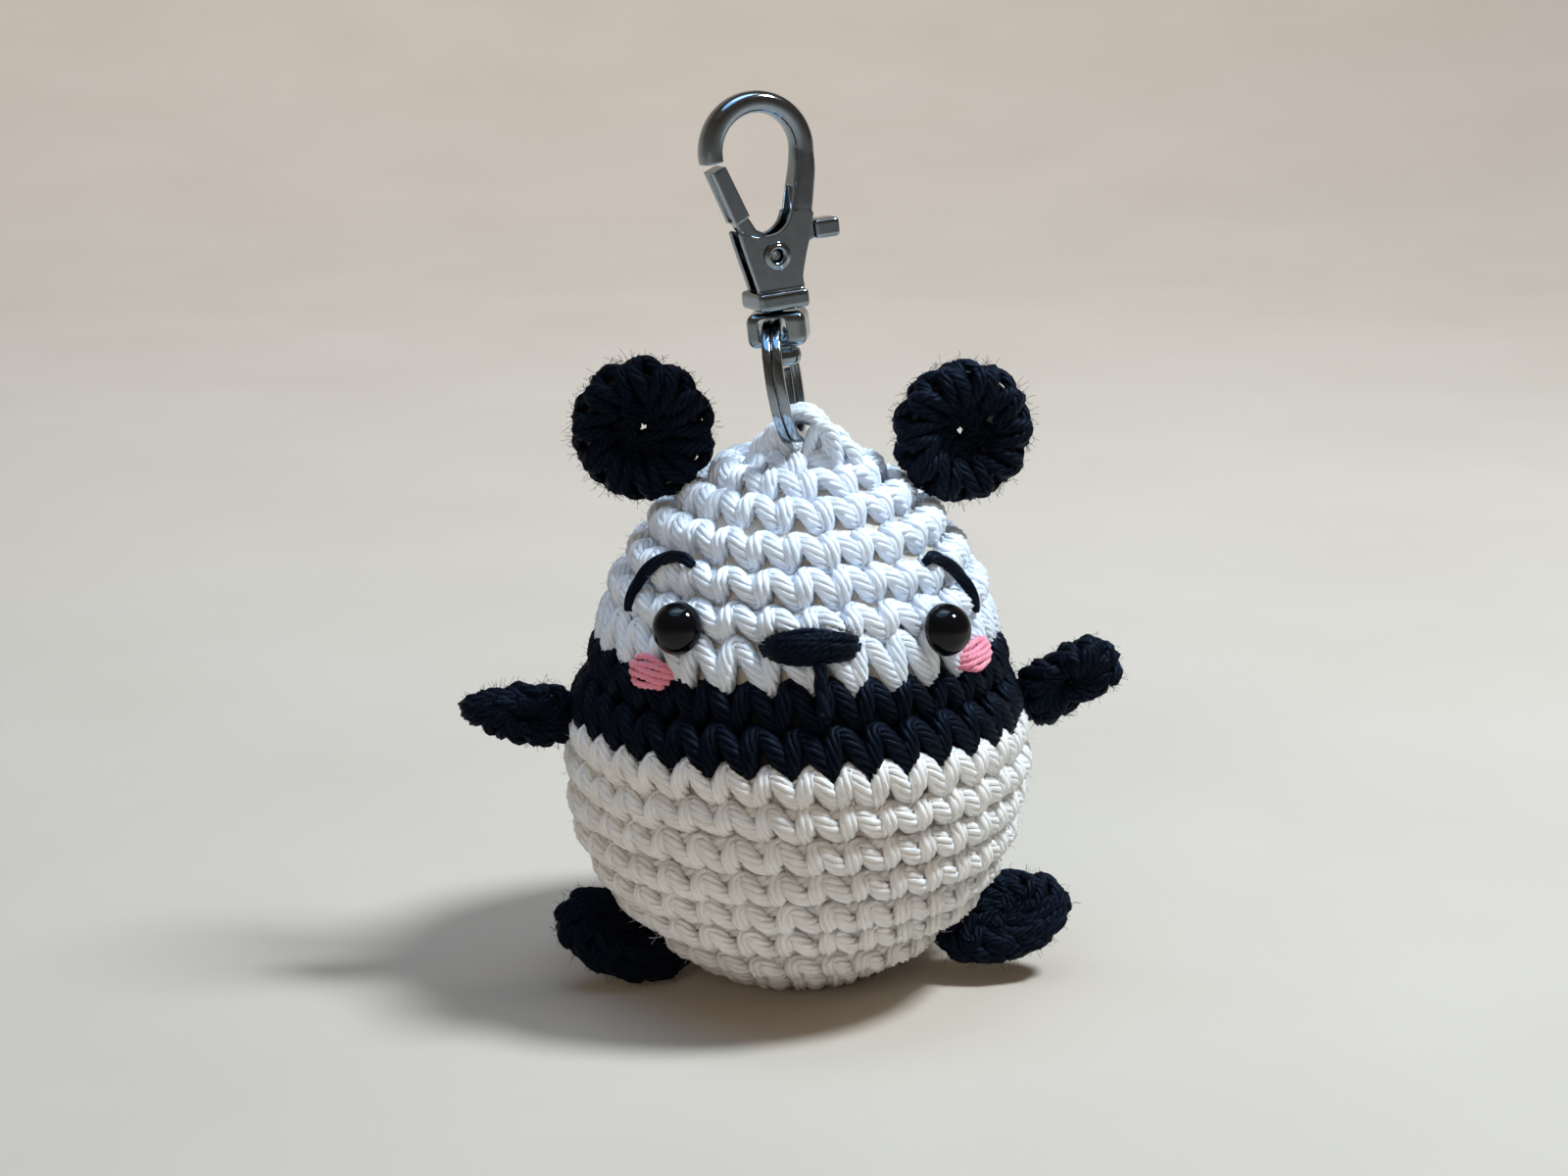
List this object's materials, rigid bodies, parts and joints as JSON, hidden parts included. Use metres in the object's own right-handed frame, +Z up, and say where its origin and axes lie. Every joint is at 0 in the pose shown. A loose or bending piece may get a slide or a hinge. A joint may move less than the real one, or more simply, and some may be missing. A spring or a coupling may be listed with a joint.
{
  "type": "plush keychain",
  "caption": "Crocheted round bear toy with flexing ears, arms and feet, hung by a yarn loop on a split ring with a swivelling, sprung lobster clasp.",
  "frame": {"origin": "centre of the flat spot under the belly, where the toy stands", "axes": "+Z up through the crown, the face looks along -Y, the toy's arms point along -X and +X"},
  "size_m": [0.0787, 0.0566, 0.1083],
  "materials": {
    "white_yarn": "crocheted cotton, soft sheen",
    "black_yarn": "crocheted cotton, slightly fuzzy",
    "pink_yarn": "embroidery strands",
    "stuffing": "fibre filling",
    "black_gloss": "polished",
    "white_nylon": "moulded",
    "nickel": "nickel plate, polished",
    "spring_steel": "drawn wire"
  },
  "bodies": {
    "plush": {"head_cover": "white_yarn", "chest_band": "black_yarn", "belly_cover": "white_yarn", "stuffing": "stuffing", "eye_left": "black_gloss", "eye_right": "black_gloss", "eye_washer_left": "white_nylon", "eye_washer_right": "white_nylon", "nose": "black_yarn", "mouth_line": "black_yarn", "eyebrow_left": "black_yarn", "eyebrow_right": "black_yarn", "cheek_left": "pink_yarn", "cheek_right": "pink_yarn", "hanging_loop": "white_yarn"},
    "left_ear": {"ear_left": "black_yarn"},
    "right_ear": {"ear_right": "black_yarn"},
    "left_arm": {"arm_left": "black_yarn"},
    "right_arm": {"arm_right": "black_yarn"},
    "left_foot": {"foot_left": "black_yarn"},
    "right_foot": {"foot_right": "black_yarn"},
    "ring": {"split_ring": "nickel"},
    "barrel": {"swivel_barrel": "nickel"},
    "clasp": {"clasp_frame": "nickel", "gate_rivet": "nickel", "gate_spring": "spring_steel"},
    "trigger": {"gate": "nickel"}
  },
  "joints": [
    {"name": "ear_left_flex", "type": "hinge", "parent": "plush", "child": "left_ear", "pos_m": [-0.01328, 0, 0.0619], "axis": [0, 1, 0], "range_deg": [-9, 9], "stiffness_Nm_per_rad": 0.001},
    {"name": "ear_right_flex", "type": "hinge", "parent": "plush", "child": "right_ear", "pos_m": [0.0146, 0, 0.06086], "axis": [0, 1, 0], "range_deg": [-9, 9], "stiffness_Nm_per_rad": 0.001},
    {"name": "arm_left_flex", "type": "hinge", "parent": "plush", "child": "left_arm", "pos_m": [-0.03122, -0.00218, 0.034], "axis": [0, 1, 0], "range_deg": [-20, 20], "stiffness_Nm_per_rad": 0.001},
    {"name": "arm_right_flex", "type": "hinge", "parent": "plush", "child": "right_arm", "pos_m": [0.03102, -0.00108, 0.0352], "axis": [0, 1, 0], "range_deg": [-20, 20], "stiffness_Nm_per_rad": 0.001},
    {"name": "foot_left_flex", "type": "hinge", "parent": "plush", "child": "left_foot", "pos_m": [-0.01587, -0.00472, 0.004], "axis": [0, 1, 0], "range_deg": [-6, 6], "stiffness_Nm_per_rad": 0.001},
    {"name": "foot_right_flex", "type": "hinge", "parent": "plush", "child": "right_foot", "pos_m": [0.01872, -0.00683, 0.00588], "axis": [0, 1, 0], "range_deg": [-6, 6], "stiffness_Nm_per_rad": 0.001},
    {"name": "ring_lean", "type": "hinge", "parent": "plush", "child": "ring", "pos_m": [-0.00058, -0.00256, 0.06767], "axis": [0.2079, 0.9781, 0], "range_deg": [-30, 30]},
    {"name": "clasp_travel", "type": "hinge", "parent": "ring", "child": "barrel", "pos_m": [-0.0018, -0.0023, 0.0744], "axis": [0.9618, -0.2044, 0.1822], "range_deg": [-80, 80]},
    {"name": "swivel", "type": "hinge", "parent": "barrel", "child": "clasp", "pos_m": [-0.00266, -0.00212, 0.08275], "axis": [-0.1022, 0.0217, 0.9945], "continuous": true},
    {"name": "gate_swing", "type": "hinge", "parent": "clasp", "child": "trigger", "pos_m": [-0.00333, -0.00197, 0.08932], "axis": [-0.2898, 0.9558, -0.0507], "range_deg": [0, 22], "stiffness_Nm_per_rad": 0.02, "springref_deg": -20.05, "deforming": ["gate_spring"]}
  ]
}
